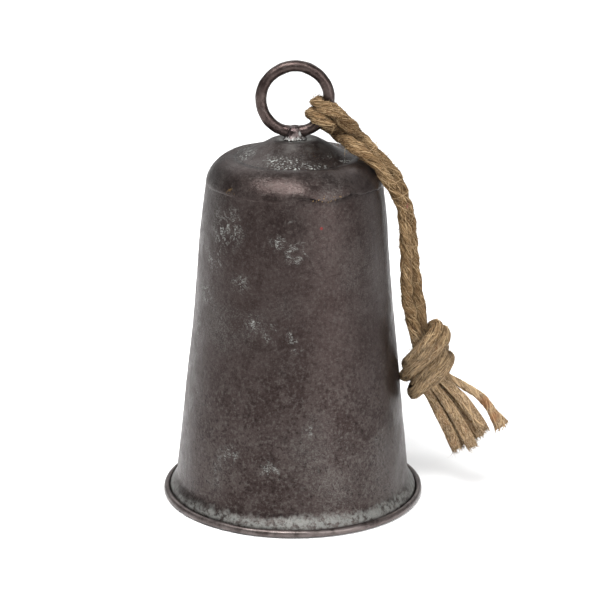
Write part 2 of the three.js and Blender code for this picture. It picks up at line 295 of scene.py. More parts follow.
def laid_section(angle, twist, groove):
    """Radius of a three-strand rope, and the angle round its own strand."""
    local = (angle - twist) % (2 * np.pi / 3) - np.pi / 3
    s = np.sin(local) * STRAND_OFF
    lobe = STRAND_OFF * np.cos(local) + np.sqrt(np.maximum(STRAND_R**2 - s**2, 0.05))
    around = np.arctan2(lobe * np.sin(local), lobe * np.cos(local) - STRAND_OFF)
    sunk = np.clip((STRAND_OFF + STRAND_R - lobe) / 2.6, 0, 1)
    return LAID_RADIUS - groove * (1 - np.exp(-2.4 * sunk)), around, 1 - sunk


def laid_rope(name, path):
    path = np.asarray(path, float)
    step = np.linalg.norm(np.diff(path, axis=0), axis=1)
    s = np.concatenate([[0], np.cumsum(step)])
    _, n, b = frames(path)
    angle = np.linspace(0, 2 * np.pi, ROPE_SIDES, endpoint=False)
    slack = 1 / (1 + np.exp((path[:, 2] - KNOT_TOP) / 3))
    from_ring = np.hypot(path[:, 0], path[:, 2] - RING_CENTRE_Z) - RING_RADIUS
    on_wire = np.exp(-np.maximum(np.hypot(from_ring, path[:, 1]) - 7, 0) / 2.5)
    fluffed = np.exp(-(((path[:, 0] - FLUFF_X) / FLUFF_REACH) ** 2)) * (path[:, 2] > CROWN_TOP)
    size = 1 + WIRE_SWELL * on_wire + KNOT_SWELL * slack + FLUFF_SWELL * fluffed
    rate = -2 * np.pi / LAY_PITCH * (1 - 0.7 * slack) * (1 + 0.22 * np.sin(s / 23.0))
    twist = np.concatenate([[0], np.cumsum(rate[1:] * step)])
    groove = 0.95 * (1 - 0.55 * slack)
    radius, around, depth = laid_section(angle[None, :], twist[:, None], groove[:, None])
    radius = radius * size[:, None]
    ring = np.cos(angle)[None, :, None] * n[:, None] + np.sin(angle)[None, :, None] * b[:, None]
    strand = np.floor(((angle[None, :] - twist[:, None]) / (2 * np.pi / 3)) % 3)
    verts = path[:, None] + ring * radius[..., None]
    for i in range(len(path)):
        for j in range(ROPE_SIDES):
            v, k = verts[i, j], around[i, j] * STRAND_R
            bundle = fbm(s[i] * 0.11 + strand[i, j] * 9, k * 0.85 + s[i] * 0.05, strand[i, j], 2)
            loose = fbm(v[0] * 0.16, v[1] * 0.16, v[2] * 0.16, 1)
            verts[i, j] = v + ring[i, j] * (0.42 * bundle + 0.25 * loose)
            depth[i, j] += 0.9 * bundle
    for e in (0, len(path) - 1):
        verts[e] = path[e] + (verts[e] - path[e]) * 0.55
    faces = grid_faces(len(path), ROPE_SIDES)
    faces.append(tuple(reversed(range(ROPE_SIDES))))
    faces.append(tuple((len(path) - 1) * ROPE_SIDES + i for i in range(ROPE_SIDES)))
    made = mesh(name, verts.reshape(-1, 3), faces)
    fibre = np.stack([np.broadcast_to(s[:, None], around.shape) * MM, around * STRAND_R * MM,
                      strand * 0.37], -1)
    attribute(made, "fibre", "FLOAT_VECTOR", fibre.reshape(-1, 3))
    # depth is how far out of the grooves each point lies; the jute is darkened by it as painted
    # shade.
    attribute(made, "depth", "FLOAT", np.clip(depth, 0, 1))
    return made, verts, ring, twist


rope, rope_verts, rope_ring, rope_twist = laid_rope("rope", ROPE)

# ---------------- unlaid strands
TAILS = [
    ((76, -4.5, 64), (87.2, -5.5, 44), (95.5, -6, 26)),
    ((78, 0, 65), (90.2, -1, 46.5), (100.4, -1.5, 27.5)),
    ((79.5, -5.2, 67.5), (92.8, -6.8, 49), (104.2, -7.6, 28)),
    ((82, 0, 69.5), (95.6, -1, 53), (108.2, -1.5, 32)),
    ((83, -4.6, 71.5), (98, -6, 57), (110.8, -6.8, 37.5)),
]
LOOSE_STRAND = [
    (84, -2, 73), (92.6, -2.6, 68.4), (98.8, -3, 64.4), (105, -3.5, 60.8),
    (110, -4, 56.4), (114, -4, 50.8), (121, -4, 39.5),
]
GOLDEN_ANGLE, FULL_TURN = 2.399963, 6.28
FIBRE_SPACING = 0.0006
STRAND_WAY = np.array((0.5, 0, -0.8))
# Where stray fibres stand on the strands: the place, the way they point, and how widely it varies.
fuzz_roots = []


class Batch:
    """Many small tubes gathered in one mesh, with the fibre coordinates."""

    def __init__(self):
        self.verts, self.faces, self.fibre = [], [], []

    def tube(self, path, radius, sides, tag):
        """Adds a capped tube; radius is a number or one per point."""
        base, last = len(self.verts), len(self.verts) + (len(path) - 1) * sides
        _, n, b = frames(path)
        turn = np.linspace(0, 2 * np.pi, sides, endpoint=False)
        ring = np.cos(turn)[None, :, None] * n[:, None] + np.sin(turn)[None, :, None] * b[:, None]
        verts = path[:, None] + ring * np.broadcast_to(radius, len(path))[:, None, None]
        self.verts.extend(verts.reshape(-1, 3).tolist())
        self.faces.extend(tuple(base + i for i in f) for f in grid_faces(len(path), sides))
        self.faces.append(tuple(base + i for i in reversed(range(sides))))
        self.faces.append(tuple(last + i for i in range(sides)))
        s = np.concatenate([[0], np.cumsum(np.linalg.norm(np.diff(path, axis=0), axis=1))])
        self.fibre.extend((s[i] * MM, j * FIBRE_SPACING, tag)
                          for i in range(len(path)) for j in range(sides))

    def done(self, name):
        made = mesh(name, self.verts, self.faces)
        attribute(made, "fibre", "FLOAT_VECTOR", self.fibre)
        attribute(made, "depth", "FLOAT", [1.0] * len(self.verts))
        return made


def strand(name, points, thick, count, twist, splay):
    """One unlaid strand: a core with fibres wandering over it, and a blunt brush at the end.

    thick is its radius, count its fibres, twist in radians to the millimetre, and splay how much
    wider it is at the end.
    """
    path = spline(points, 1.1)
    s = np.concatenate([[0], np.cumsum(np.linalg.norm(np.diff(path, axis=0), axis=1))])
    t = s / s[-1]
    _, n, b = frames(path)
    swell = thick * (0.68 + 0.32 * np.clip(t / 0.55, 0, 1))
    swell = swell * (1 + splay * np.clip((t - 0.72) / 0.28, 0, 1) ** 1.6)
    batch = Batch()
    core = int(len(path) * 0.96)
    batch.tube(path[:core], swell[:core] * 0.78, 12, 0.3)
    for k in range(count):
        turn, off = k * GOLDEN_ANGLE, 0.70 + 0.32 * rng.random()
        keep = int(len(path) * (1.0 - 0.09 * rng.random()))
        wave, sway = rng.random() * FULL_TURN, rng.gauss(0, 0.8)
        line = []
        for i in range(keep):
            a = turn + twist * s[i] + sway * math.sin(s[i] * 0.16 + wave)
            o = off * swell[i] + 0.16 * math.sin(s[i] * 0.4 + wave)
            line.append(path[i] + n[i] * o * math.cos(a) + b[i] * o * math.sin(a))
        taper = np.interp(np.linspace(0, 1, keep), [0, 0.9, 1], [1, 1, 0.6])
        batch.tube(np.array(line), (0.22 + 0.24 * rng.random()) * taper, 5, rng.random())
        for _ in range(2):
            fuzz_roots.append((line[rng.randrange(len(line) // 3, len(line))], STRAND_WAY, 0.5))
        tip, before = np.array(line[-1]), np.array(line[-3])
        fuzz_roots.append((tip, unit(tip - before), 0.8))
    return batch.done(name)


tails = [strand(f"strand_{i + 1}", t, thick=3.05, count=96, twist=0.03 * (-1) ** i, splay=0.14)
         for i, t in enumerate(TAILS)]
loose = strand("strand_loose", LOOSE_STRAND, thick=2.4, count=70, twist=0.24, splay=1.35)


# ---------------- stray fibres
fuzz = Batch()
HAIR_POINTS = 7


def hair(root, direction, length, radius, curl=0.28):
    side = unit(np.array([rng.gauss(0, 1) for _ in range(3)]))
    line, p, d = [], np.array(root, float), unit(direction)
    for _ in range(HAIR_POINTS):
        line.append(p)
        d = unit(d + side * curl + np.array([rng.gauss(0, 0.14) for _ in range(3)]))
        p = p + d * length / (HAIR_POINTS - 1)
    taper = np.linspace(radius, radius * 0.5, HAIR_POINTS)
    fuzz.tube(np.array(line), taper, 3, rng.random())


def clear_of_bell(p, margin):
    return math.hypot(p[0], p[1]) > wall_radius(p[2]) + margin or p[2] > CROWN_TOP


def surface_point(i, j):
    k, share = int(j), j - int(j)
    a, c = k % ROPE_SIDES, (k + 1) % ROPE_SIDES
    out = unit(rope_ring[i, a] * (1 - share) + rope_ring[i, c] * share)
    return rope_verts[i, a] * (1 - share) + rope_verts[i, c] * share + out * 0.05


LAID_FIBRES, HAIRS = 7000, 4200
tangents = frames(ROPE)[0]
for _ in range(LAID_FIBRES):
    # A fibre that follows the lay, or one of those that stray across it.
    i, j = rng.randrange(2, len(ROPE) - 24), rng.random() * ROPE_SIDES
    drift, bow = rng.gauss(0, 0.8 if i % 3 else 2.4), rng.gauss(0, 0.12)
    line = []
    for k in range(rng.randrange(4, 11)):
        line.append(surface_point(i, j))
        j += (rope_twist[i + 2] - rope_twist[i]) / (2 * math.pi) * ROPE_SIDES + drift + bow * k
        i += 2
    size = 0.10 + 0.14 * rng.random()
    taper = np.interp(np.linspace(0, 1, len(line)), [0, 0.3, 0.7, 1], [0.4, 1, 1, 0.3])
    fuzz.tube(np.array(line), size * taper, 4, rng.random() ** 1.2)
for _ in range(HAIRS):
    i, j = rng.randrange(2, len(ROPE) - 2), rng.randrange(ROPE_SIDES)
    out = rope_ring[i, j]
    root = rope_verts[i, j] - out * 0.1
    around = np.cross(tangents[i], out) * rng.gauss(0, 0.9)
    way = tangents[i] * rng.choice((-1, 1)) + around + out * (0.05 + 0.5 * rng.random() ** 1.5)
    size = 1.8 + 6 * rng.random() ** 2.0
    if clear_of_bell(root + unit(way) * size, 0.6):
        hair(root, way, size, 0.07 + 0.07 * rng.random(), 0.3)


WOUND_STEPS, WOUND_REACH = 26, (6.7, 7.9)
# Long stray fibres wound loosely across both runs of the rope: middle, way along, and turns.
WOUND_FIBRES = (
    ((40.5, -5.8, 204.6), (0.62, 0, -0.78), 1.2), ((42, -6, 203), (0.75, 0, -0.6), 0.8),
    ((55, -5.2, 186), (0.4, 0, -0.9), 0.9), ((58, -3.6, 180), (0.5, 0, -0.85), 1.1),
    ((64.6, 0, 152), (0.05, 0, -1), 0.7), ((69, 0, 112), (0.3, 0, -0.95), 1.3),
)


def wound_fibre(middle, along, turns, size):
    along = unit(along)
    side = unit(np.cross(along, (0, 1.0, 0)))
    over = np.cross(side, along)
    start, line = rng.random() * FULL_TURN, []
    for k in range(int(WOUND_STEPS * turns)):
        a = start + k / WOUND_STEPS * 2 * math.pi
        slip = (k / (WOUND_STEPS * turns) - 0.5) * 7 + 0.6 * math.sin(a * 1.7)
        line.append(np.array(middle) + along * slip + side * math.cos(a) * WOUND_REACH[0]
                    + over * math.sin(a) * WOUND_REACH[1])
    fuzz.tube(np.array(line), size, 4, 0.75 + 0.25 * rng.random())


for middle, along, turns in WOUND_FIBRES:
    wound_fibre(middle, along, turns, 0.1 + 0.04 * rng.random())
for root, way, spread in fuzz_roots:
    lean = np.array([rng.gauss(0, 0.45) for _ in range(3)])
    hair(root, way + lean * spread, 1.5 + 4.0 * rng.random() ** 1.6, 0.05 + 0.05 * rng.random())
fibres = fuzz.done("rope_fibres")

for piece in (rope, fibres):
    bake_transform(piece)
for piece in (*tails, loose):
    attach(piece, "rope_end")
ROPE_NODES = ["rope_bight", "rope_knot"] + [
    f"rope_{part}_{side}" for part in ("run", "bend", "drop") for side in ("front", "back")]
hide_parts(*ROPE_NODES)
for i, piece in enumerate(tails):
    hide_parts(f"rope_tail_{i + 1}")
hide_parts("rope_loose_strand")

# ---------------- shell
SHEET_HALF = 0.45
SEGMENTS = 288
SEAM_Z = 185.6
BEAD_R, BEAD_Z, CURL = 72.85, 2.15, 1.7
LOWEST = 0.01
CREASE_R = 33


def bell_angle(a):
    """Degrees from the front, towards +X positive."""
    return (math.degrees(a) + 90 + 180) % 360 - 180


def bump_at(x, centre, width):
    return math.exp(-(((x - centre) / width) ** 2))


def seam_wave(a):
    d = bell_angle(a)
    return (0.5 + 0.3 * math.sin(a * 7 + 0.4) + 0.2 * math.sin(a * 13 + 2.0)
            + 1.7 * bump_at(d, 8, 9) + 1.7 * bump_at(d, 41, 9))


def seam_open(a):
    """How far the lap under the shoulder stands open, 0 to 1."""
    d = bell_angle(a)
    lumps = 0.75 + 0.25 * math.sin(a * 47) * math.sin(a * 19)
    return max(bump_at(d, 12, 7), bump_at(d, 33, 13), 0.8 * bump_at(d, 58, 9),
               0.7 * bump_at(d, -150, 40)) * lumps


def dents(x, y, z):
    return (0.42 * fbm(x / 44, y / 44, z / 60, 2) + 0.13 * fbm(x / 13, y / 13, z / 13 + 9, 3)
            + 0.045 * fbm(x / 4.2, y / 4.2, z / 4.2 + 5, 2))


def wall_swell(a, h):
    """How far the wall's surface lies from a plain cone."""
    r = wall_radius(h)
    return 0.9 * bump_at(h, 165, 26) + dents(r * math.cos(a), r * math.sin(a), h)


def lathe(name, profile_of, segments=SEGMENTS, close=True):
    """Turns a profile that may change with the angle; close joins its last corner to its first."""
    rows = []
    for j in range(segments):
        a = 2 * math.pi * j / segments
        rows.append([(r * math.cos(a), r * math.sin(a), max(z, LOWEST))
                     for r, z in profile_of(a)])
    cols = len(rows[0])
    faces = grid_faces(segments, cols, close_rows=True, close_cols=close)
    if not close:
        faces.append(tuple(j * cols for j in reversed(range(segments))))
        faces.append(tuple(j * cols + cols - 1 for j in range(segments)))
    made = mesh(name, [v for row in rows for v in row], faces)
    outward(made)
    return made


def outward(obj):
    bm = bmesh.new()
    bm.from_mesh(obj.data)
    bmesh.ops.recalc_face_normals(bm, faces=bm.faces)
    bm.to_mesh(obj.data)
    bm.free()


def bezier(p, n):
    t = np.linspace(0, 1, n)[:, None]
    p = [np.array(q, float) for q in p]
    return ((1 - t) ** 3 * p[0] + 3 * (1 - t) ** 2 * t * p[1] + 3 * (1 - t) * t**2 * p[2]
            + t**3 * p[3])


def thick(middle, half):
    """A closed loop round a middle line: one side, a round end, and back on the other."""
    middle = np.asarray(middle, float)
    d = unit(np.gradient(middle, axis=0))
    side = np.stack([-d[:, 1], d[:, 0]], 1)
    turn = np.radians((45, 90, 135))
    cap = [middle[-1] + half * (side[-1] * math.cos(t) + d[-1] * math.sin(t)) for t in turn]
    start = [middle[0] - half * (side[0] * math.cos(t) + d[0] * math.sin(t)) for t in turn]
    return np.vstack([middle + side * half, cap, (middle - side * half)[::-1], start])


def wall_profile(a):
    d = bell_angle(a)
    top = SEAM_Z - 0.3 + seam_wave(a)
    z = np.concatenate([np.linspace(top, top - 6, 9)[:-1], np.linspace(top - 6, 12.5, 98)])
    middle = [(wall_radius(h) - SHEET_HALF + wall_swell(a, h), h) for h in z]
    foot = 0.35 * math.sin(a * 2 + 0.6) + 0.25 * math.sin(a * 5 + 1.9)
    lift = 0.22 + 0.16 * math.sin(a * 3 + 0.5) + 0.06 * math.sin(a * 11)
    first = middle[-1]
    curl_in = BEAD_R - CURL
    flare = bezier([first, (first[0] + 0.5, 8.2 + foot), (curl_in - 0.5, 6.6 + foot),
                    (curl_in, BEAD_Z + lift)], 16)
    opened = bump_at(d, -19, 9) + 0.5 * bump_at(d, 8, 5)
    end = 462 + 14 * math.sin(a * 4 + 1) + 9 * math.sin(a * 9) - 52 * opened
    arc = np.radians(np.linspace(180, end, 22))
    size = CURL * (1 + 0.05 * math.sin(a * 6))
    curl = [(BEAD_R + size * math.cos(t), BEAD_Z + lift + size * math.sin(t)) for t in arc[1:]]
    return thick(np.vstack([middle, flare[1:], curl]), SHEET_HALF)


wall = lathe("wall", wall_profile)


def cap_outline():
    shoulder = [(31.5 + 17.55 * math.cos(t), 183.25 + 17.55 * math.sin(t))
                for t in np.radians(np.arange(10, 73, 2.5))]
    top = [(34.2, 199.75), (33.2, 199.3), (32.2, 199.4), (31.2, 199.9), (28, 201.35),
           (24, 203.3), (20, 205.3), (16.5, 207.2), (14.4, 208.5), (13.2, 209.05), (12, 209.3),
           (7, 209.35), (3.4, 209.3)]
    outer = [(wall_radius(SEAM_Z), SEAM_Z)] + shoulder + top
    return resample(outer, 0.8)


CAP_OUTER = cap_outline()
CAP_ROWS = 110


def cap_profile(a):
    wave, gap, d = seam_wave(a), seam_open(a), bell_angle(a)
    crease_r = 0.7 * math.sin(a * 2 + 0.4) + 0.35 * math.sin(a * 5 + 1)
    points = []
    for r, z in CAP_OUTER:
        near = math.exp(-((z - SEAM_Z) / 7) ** 2)
        dz = wave * near
        x, y = r * math.cos(a), r * math.sin(a)
        move = 0.3 * fbm(x / 26, y / 26, 3.3, 2) + 0.1 * fbm(x / 7, y / 7, z / 7, 2)
        if 30 < r < 36:
            dz -= 0.35 * bump_at(r, CREASE_R, 1.1) * (0.6 + 0.4 * math.sin(a * 9))
        if r < 40:
            r = r + crease_r * bump_at(r, CREASE_R, 5)
        hump = 0.7 * bump_at(r, 18, 7) * bump_at(d, 112, 60)
        wrinkle = 0.3 * bump_at(r, 18, 1.4) * bump_at(d, 20, 16)
        fade = min(1, r / 12)
        if z < 199:
            lap = 0.13 + 0.5 * gap * math.exp(-((z - SEAM_Z) / 2.2) ** 2)
            swell = math.exp(-((z - SEAM_Z) / 6) ** 2)
            r += (wall_swell(a, SEAM_Z) + lap) * swell + move * 0.4 * (1 - swell)
            points.append((r, z + dz))
        else:
            points.append((r, z + dz + move * fade + hump - wrinkle))
    tuck = -1.1 * (1 - gap) + 0.7 * gap
    edge = (points[0][0] - 0.02 - 0.05 * (1 - gap), SEAM_Z + wave + tuck)
    points = np.array([edge] + [q for q in points if q[1] > edge[1] + 0.3])
    skirt = [(wall_radius(SEAM_Z) - 0.2, edge[1] - 0.02 + 0.25 * gap),
             (wall_radius(SEAM_Z) - 1.5, SEAM_Z + wave - 1.5),
             (wall_radius(177) - 1.6, 177), (wall_radius(177) - 2.4, 177.2)]
    points = resample(points, 0.8)
    length = np.linalg.norm(np.diff(points, axis=0), axis=1).sum()
    points = resample(points, length / CAP_ROWS)
    d2 = unit(np.gradient(points, axis=0))
    inner = points + np.stack([-d2[:, 1], d2[:, 0]], 1) * 2.2 * SHEET_HALF
    inner = inner[4:]
    inner[:, 0] = np.maximum(inner[:, 0], 3.4)
    return np.vstack([points, inner[::-1], skirt[::-1]])


cap = lathe("crown", cap_profile)


def lap_shade(obj):
    """Painted shade: the sheet darkens where the lap under the shoulder stands open, at and below
    its edge.
    """
    values = []
    for v in obj.data.vertices:
        a, z = math.atan2(v.co.y, v.co.x), v.co.z / MM
        edge = SEAM_Z + seam_wave(a) - 0.2
        values.append(seam_open(a) * math.exp(-((z - edge) / (0.8 if z > edge else 2.2)) ** 2))
    attribute(obj, "lap_shade", "FLOAT", values)


lap_shade(wall)
lap_shade(cap)


# ---------------- ring and stud
def rod_loop(name, axis, middle, thickness, steps, sides, grain, depth):
    """A closed loop of rod, upright in X (axis 0) or Y (axis 1).

    At angle t its line is middle(t, out) and its radius thickness(t); grain and depth are the
    size and the height of its roughness.
    """
    across = np.zeros(3)
    across[1 - axis] = 1
    verts = []
    for i in range(steps):
        t = 2 * math.pi * i / steps
        out = np.zeros(3)
        out[axis], out[2] = math.cos(t), math.sin(t)
        for j in range(sides):
            u = 2 * math.pi * j / sides
            way = out * math.cos(u) + across * math.sin(u)
            p = middle(t, out) + way * thickness(t)
            verts.append(p + way * depth * fbm(*(p / grain), 2))
    return mesh(name, verts, grid_faces(steps, sides, close_rows=True))


def ring_line(t, _):
    radius = RING_RADIUS + (0.18 * math.sin(2 * t + 0.7) + 0.08 * math.sin(5 * t))
    return np.array((radius * math.cos(t), 0.12 * math.sin(3 * t),
                     RING_CENTRE_Z + radius * math.sin(t)))


def ring_thickness(t):
    from_foot = abs((t - 1.5 * math.pi + math.pi) % (2 * math.pi) - math.pi)
    collar = 0.24 / (1 + math.exp((from_foot - 0.33) * 45))
    return RING_WIRE - 0.06 + collar + 0.05 * math.sin(7 * t) + 0.04 * math.sin(17 * t)


ring = rod_loop("ring", 0, ring_line, ring_thickness, 180, 28, 3, 0.09)
outward(ring)


def stud_profile(a):
    lump = 0.35 * math.sin(2 * a + 0.5) + 0.22 * math.sin(3 * a + 2)
    base = 209.35
    outline = [(2.9, 200.6), (3, 201.2)]
    outline += [(3 - 0.22 * (0.5 + 0.5 * math.cos(2 * math.pi * (z / 1.25) - a)), z)
                for z in np.linspace(201.4, 208.9, 50)]
    outline += [(3.0, 209.2), (3.1, base + 0.25), (5.2, base + 0.3), (6.3 + lump, base + 0.15),
                (6.2 + lump, base + 0.7), (5.2 + lump, base + 1.4), (4.5 + 0.7 * lump, base + 2.8),
                (4.2 + 0.5 * lump, base + 4.2), (3.8 + 0.4 * lump, base + 5.6),
                (3.0 + 0.3 * lump, base + 6.9), (1.8, base + 7.6), (0.5, base + 7.8)]
    points = []
    for r, z in resample(outline, 0.3):
        if z > base + 0.2:
            rough = fbm(r * math.cos(a) / 1.6, r * math.sin(a) / 1.6, z / 1.6, 2)
            r = r * (1 + 0.22 * abs(math.sin(a))) + 0.14 * rough
        points.append((r, z))
    return points


stud = lathe("stud", stud_profile, 64, close=False)


def plate(name, outlines, low, high, edge):
    """A flat plate with holes, from 2-D outlines, with rounded edges."""
    curve = bpy.data.curves.new(name, "CURVE")
    curve.dimensions = "2D"
    curve.fill_mode = "BOTH"
    for outline in outlines:
        line = curve.splines.new("POLY")
        line.points.add(len(outline) - 1)
        for point, (x, y) in zip(line.points, outline):
            point.co = (x * MM, y * MM, 0, 1)
        line.use_cyclic_u = True
    curve.extrude = ((high - low) / 2 - edge) * MM
    curve.bevel_depth = edge * MM
    curve.bevel_resolution = 3
    curve.offset = -edge * MM
    made = bpy.data.objects.new(name + "_curve", curve)
    scene.collection.objects.link(made)
    bpy.context.view_layer.update()
    data = bpy.data.meshes.new_from_object(made.evaluated_get(
        bpy.context.evaluated_depsgraph_get()))
    bpy.data.objects.remove(made)
    data.name = name
    result = bpy.data.objects.new(name, data)
    scene.collection.objects.link(result)
    data.transform(Matrix.Translation((0, 0, (low + high) / 2 * MM)))
    return result


def ring_points(radius, count, turn=0.0):
    return [(radius * math.cos(2 * math.pi * (i + turn) / count),
             radius * math.sin(2 * math.pi * (i + turn) / count)) for i in range(count)]


def tenon_plate():
    corners = [(-3, 188.5), (3, 188.5), (3, 200.8), (-3, 200.8)]
    outline = []
    for (x0, z0), (x1, z1) in zip(corners, corners[1:] + corners[:1]):
        outline += [(x0 + (x1 - x0) * t, z0 + (z1 - z0) * t) for t in (0.12, 0.5, 0.88)]
    hole = [(x, z + 192.5) for x, z in ring_points(1.9, 28)]
    made = plate("tenon", [outline, hole], -1.6, 1.6, 0.25)
    made.data.transform(Matrix.Rotation(math.radians(90), 4, "X"))
    return made


tenon = tenon_plate()
washer = plate("washer", [ring_points(7.5, 64), ring_points(3.25, 48)], 206.7, 207.85, 0.2)
nut = plate("nut", [ring_points(10 / math.sqrt(3), 6), ring_points(3.25, 48)], 201.6, 206.4, 0.35)
end_nut = plate("end_nut", [ring_points(8 / math.sqrt(3), 6), ring_points(2.45, 40)],
                10.4, 13.6, 0.3)


# ---------------- clapper
def forged_loop(name, axis, centre, radius, wire):
    return rod_loop(name, axis, lambda t, out: np.array(centre, float) + out * radius,
                    lambda t: wire + 0.22 * bump_at(math.degrees(t), 300, 9), 96, 16, 2, 0.07)


link = forged_loop("link", 1, (0, 0, 185.5), 7, 1.2)
eye = forged_loop("rod_eye", 0, (0, 0, 176.7), 5, 1.5)


def rod_profile(a):
    neck = [(0.4, 172.9), (1.5, 172.6), (2.3, 171.6), (2.5, 170.2), (2.25, 168.5), (2.2, 160)]
    shaft = [(2.2, z) for z in range(155, 16, -5)]
    thread = [(2.2 - 0.18 * (0.5 + 0.5 * math.cos(2 * math.pi * z / 0.8 - a)), z)
              for z in np.linspace(13.8, 10.0, 34)]
    outline = resample(neck + shaft, 1.2).tolist() + thread + [(1.6, 9.65), (0.4, 9.6)]
    return [(r + 0.06 * fbm(r * math.cos(a), r * math.sin(a), z / 3, 2), z) for r, z in outline]


rod = lathe("rod", rod_profile, 24, close=False)


def ball_profile(a):
    open_angle = math.degrees(math.asin(2.5 / 13))
    points = []
    for t in np.radians(np.linspace(-90 + open_angle, 90 - open_angle, 54)):
        r, z = 13 * math.cos(t), 27 + 13 * math.sin(t)
        x, y = r * math.cos(a), r * math.sin(a)
        move = 0.16 * fbm(x / 5, y / 5, z / 5, 3) + 0.1 * bump_at(z, 27, 0.5) - 0.15
        points.append((r + move * math.cos(t), z + move * math.sin(t)))
    bore = [(2.5, z) for z in np.linspace(points[-1][1], points[0][1], 8)[1:-1]]
    return points + bore


ball = lathe("ball", ball_profile, 96)

for piece, node, slot in (
        (wall, "bell_wall", "shell"), (cap, "crown_cap", "shell"),
        (ring, "suspension_ring", "ring"), (stud, "hanger_stud", "ring"),
        (tenon, "hanger_stud", "ring"), (washer, "stud_washer", "iron"),
        (nut, "stud_nut", "iron")):
    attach(piece, "bell")
    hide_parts(node)
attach(link, "clapper_link")
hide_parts("clapper_link")
for piece, node in ((rod, "clapper_rod"), (eye, "clapper_rod"), (ball, "clapper_ball"),
                    (end_nut, "clapper_end_nut")):
    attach(piece, "clapper")
    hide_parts(node)


# ---------------- materials
class Nodes:
    """A small builder of shader trees: sockets in, sockets out."""

    def __init__(self, name):
        self.material = bpy.data.materials.new(name)
        self.material.use_nodes = True
        self.tree = self.material.node_tree
        self.shader = self.tree.nodes["Principled BSDF"]

    def node(self, kind, values=None, **settings):
        made = self.tree.nodes.new("ShaderNode" + kind)
        for key, value in settings.items():
            setattr(made, key, value)
        for key, value in (values or {}).items():
            self.put(made.inputs[key], value)
        return made

    def put(self, socket, value):
        if isinstance(value, bpy.types.NodeSocket):
            self.tree.links.new(value, socket)
        else:
            socket.default_value = value

    def object(self):
        return self.node("TexCoord").outputs["Object"]

    def attribute(self, name, output="Vector"):
        return self.node("Attribute", attribute_name=name).outputs[output]

    def scaled(self, vector, scale, offset=(0, 0, 0)):
        values = {"Vector": vector, "Scale": scale, "Location": offset}
        return self.node("Mapping", values).outputs[0]

    def noise(self, vector, scale, detail=4.0, rough=0.55, distortion=0.0):
        return self.node("TexNoise", {"Vector": vector, "Scale": scale, "Detail": detail,
                                      "Roughness": rough, "Distortion": distortion}).outputs[0]

    def cell_edges(self, vector):
        return self.node("TexVoronoi", {"Vector": vector, "Scale": 1.0},
                         feature="DISTANCE_TO_EDGE").outputs["Distance"]

    def math(self, operation, a, b=0.0):
        made = self.node("Math", operation=operation)
        for socket, value in zip(made.inputs, (a, b)):
            self.put(socket, value)
        return made.outputs[0]

    def times(self, a, b):
        return self.math("MULTIPLY", a, b)

    def plus(self, a, b):
        return self.math("ADD", a, b)

    def larger(self, a, b):
        return self.math("MAXIMUM", a, b)

    def ramp(self, value, low, high, to_low=0.0, to_high=1.0):
        return self.node("MapRange", {"Value": value, "From Min": low, "From Max": high,
                                      "To Min": to_low, "To Max": to_high},
                         interpolation_type="SMOOTHSTEP").outputs[0]

    def mix(self, share, a, b):
        made = self.node("Mix", data_type="RGBA")
        self.put(made.inputs[0], share)
        for socket, value in ((made.inputs[6], a), (made.inputs[7], b)):
            self.put(socket, (*value, 1) if isinstance(value, tuple) else value)
        return made.outputs[2]

    def blend(self, share, a, b):
        made = self.node("Mix", data_type="FLOAT")
        for socket, value in ((made.inputs[0], share), (made.inputs[2], a), (made.inputs[3], b)):
            self.put(socket, value)
        return made.outputs[0]

    def layers(self, colour, *coats):
        """Colours laid on in turn, each by its own share."""
        for share, coat in coats:
            colour = self.mix(share, colour, coat)
        return colour

    def split(self, vector):
        return self.node("SeparateXYZ", {"Vector": vector}).outputs

    def bump(self, height, distance, strength=1.0, normal=None):
        values = {"Height": height, "Distance": distance, "Strength": strength}
        made = self.node("Bump", values)
        if normal is not None:
            self.put(made.inputs["Normal"], normal)
        return made.outputs[0]

    def finish(self, colour, rough, metallic, normal, **constants):
        for key, value in (("Base Color", colour), ("Roughness", rough), ("Metallic", metallic),
                           ("Normal", normal)):
            self.put(self.shader.inputs[key], value)
        for key, value in constants.items():
            self.shader.inputs[key.replace("_", " ")].default_value = value
        return self.material


def near_point(n, position, point, size, soft=0.5):
    """1 close to a point, falling to 0 at size metres from it."""
    away = n.node("VectorMath", {0: position, 1: point}, operation="DISTANCE").outputs["Value"]
    return n.ramp(away, size, size * soft)


def band(n, value, low, high, soft):
    up = n.ramp(value, low - soft, low + soft)
    down = n.ramp(value, high - soft, high + soft, 1.0, 0.0)
    return n.times(up, down)


# Where the finish is rubbed through to grey oxide, and how widely.
SCUFFS = (
    ((-0.0365, -0.034, 0.168), 0.018), ((-0.043, -0.030, 0.150), 0.014),
    ((0.001, -0.054, 0.159), 0.010), ((-0.009, -0.053, 0.164), 0.007),
    ((-0.002, -0.057, 0.109), 0.010), ((-0.012, -0.056, 0.113), 0.009),
    ((-0.0215, -0.053, 0.118), 0.008), ((-0.0125, -0.0635, 0.035), 0.010),
    ((-0.034, -0.052, 0.042), 0.009), ((0.010, -0.062, 0.058), 0.007),
    ((-0.050, -0.026, 0.128), 0.012), ((-0.054, -0.024, 0.104), 0.010),
    ((-0.030, -0.046, 0.139), 0.008), ((0.020, 0.052, 0.130), 0.014),
    ((-0.030, 0.050, 0.080), 0.012),
)
SCUFF_SHARE, FOOT_SHARE, VEIL_SHARE = 0.7, 0.46, 0.12
